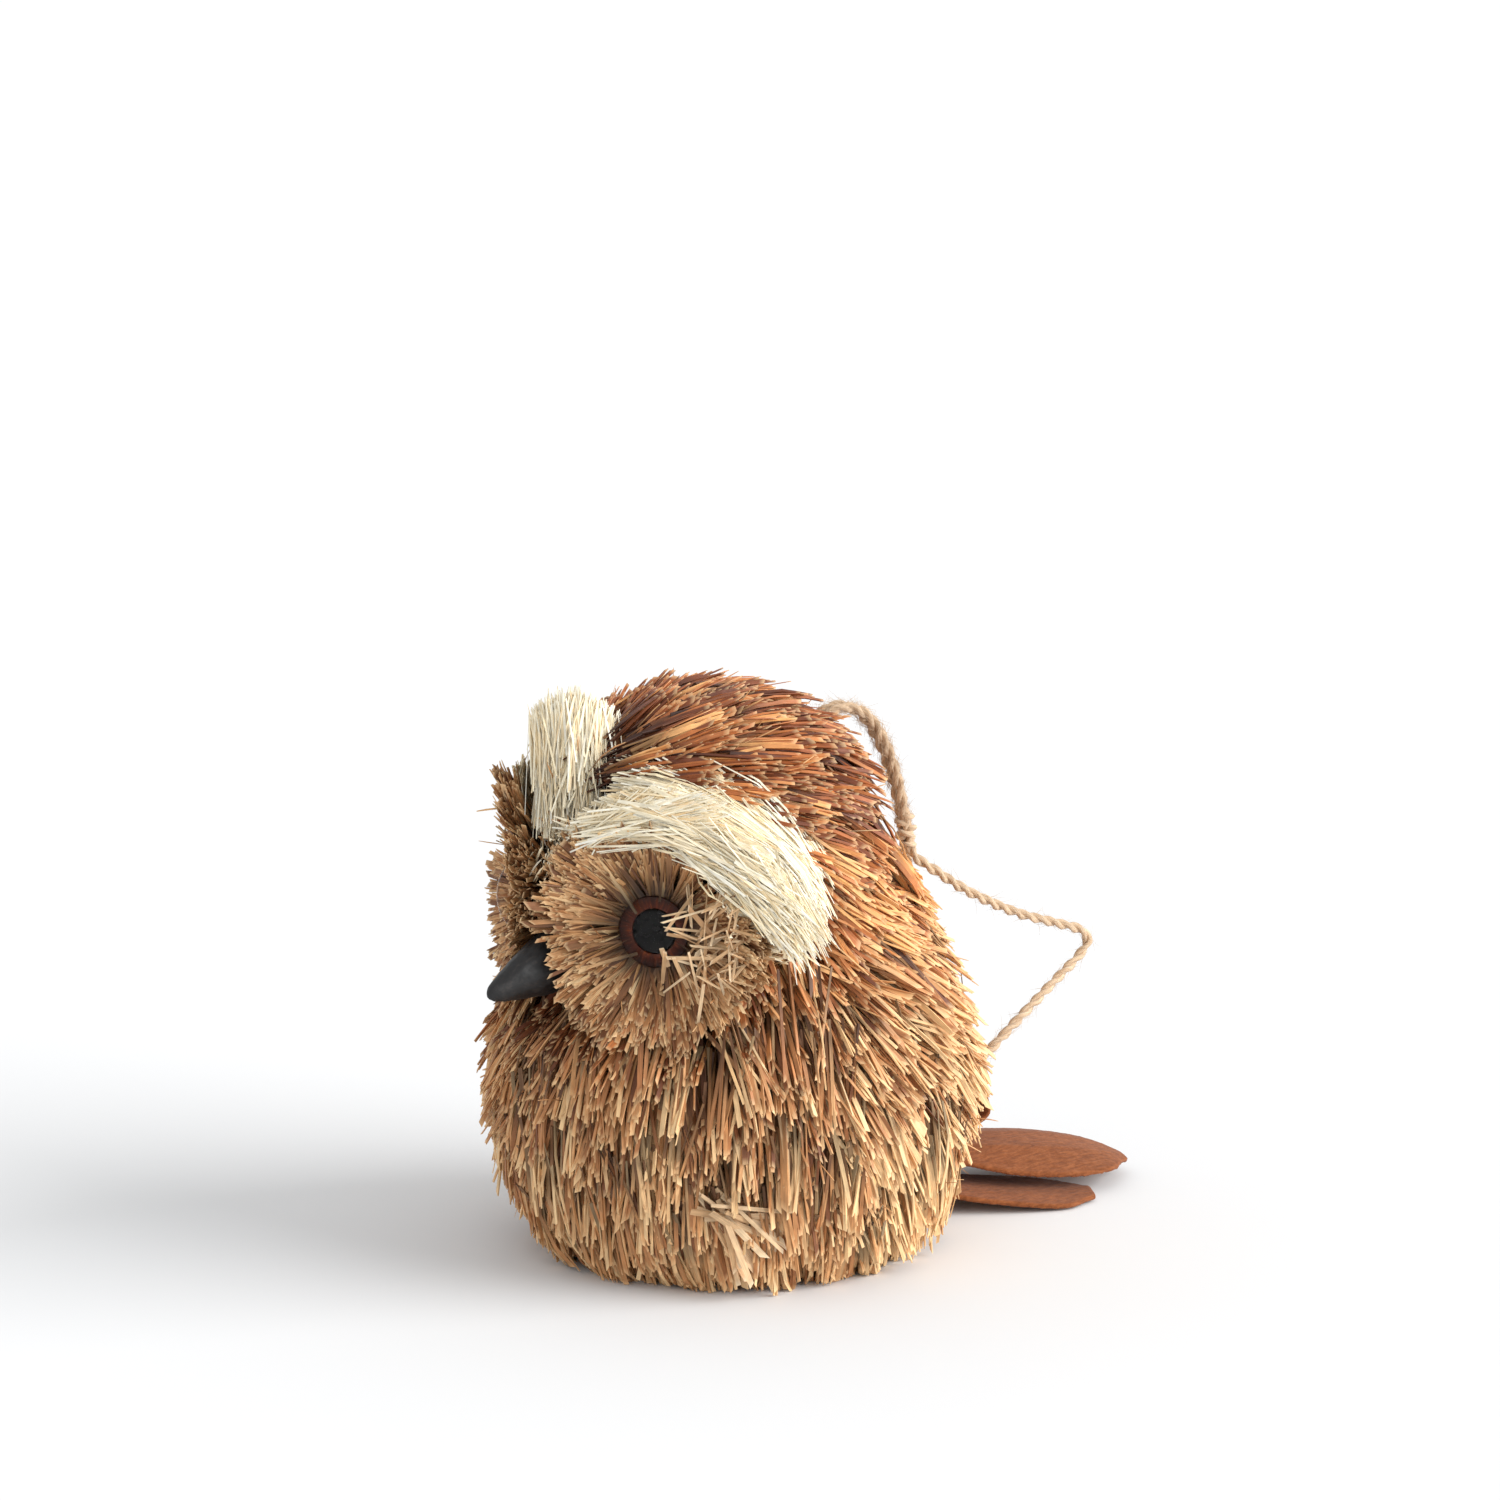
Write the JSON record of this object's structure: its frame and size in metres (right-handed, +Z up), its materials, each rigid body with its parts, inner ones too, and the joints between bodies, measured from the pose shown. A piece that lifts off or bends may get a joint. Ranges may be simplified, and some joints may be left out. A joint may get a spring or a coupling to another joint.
{
  "type": "owl ornament",
  "caption": "Round owl ornament of layered straw bristle with domed eyes, pale brows, a dark beak, bark tail leaves and a jute loop to hang it by.",
  "frame": {"origin": "the point of the flat base under the body's axis, on the surface the owl stands on", "axes": "+Z up through the body, -Y the way the beak points, +Y towards the tail, +X the owl's left"},
  "size_m": [0.0716, 0.1109, 0.0807],
  "materials": {
    "card": "matte",
    "foam": "matte",
    "bamboo": "satin",
    "straw_tan": "matte",
    "straw_rust": "matte",
    "straw_face": "matte",
    "straw_cream": "matte",
    "eye_lens": "gloss",
    "iris": "gloss",
    "pupil": "gloss",
    "eye_stem": "satin",
    "beak": "satin",
    "bark": "matte",
    "steel": "satin",
    "jute": "matte"
  },
  "bodies": {
    "root": {"base_disc": "card", "body_core": "foam", "head_core": "foam", "neck_peg": "bamboo", "bristle_hem": "straw_tan", "bristle_belly_low": "straw_tan", "bristle_belly_mid": "straw_tan", "bristle_belly_high": "straw_tan", "bristle_chest": "straw_rust", "bristle_shoulder": "straw_rust", "bristle_nape": "straw_rust", "crown_row_back": "straw_rust", "crown_row_upper_back": "straw_rust", "crown_row_top": "straw_rust", "crown_row_upper_front": "straw_rust", "crown_row_front": "straw_rust", "face_disc_left": "straw_face", "brow_left": "straw_cream", "eye_left_dome": "eye_lens", "eye_left_iris": "iris", "eye_left_pupil": "pupil", "eye_left_stem": "eye_stem", "face_disc_right": "straw_face", "brow_right": "straw_cream", "eye_right_dome": "eye_lens", "eye_right_iris": "iris", "eye_right_pupil": "pupil", "eye_right_stem": "eye_stem", "beak": "beak", "beak_peg": "bamboo", "tail_leaf_centre": "bark", "tail_leaf_left": "bark", "tail_leaf_right": "bark", "tail_leaf_cover": "bark", "hanger_pin": "steel", "twine_lead_a": "jute", "twine_lead_b": "jute", "twine_knot": "jute", "twine_loop": "jute"}
  },
  "joints": []
}
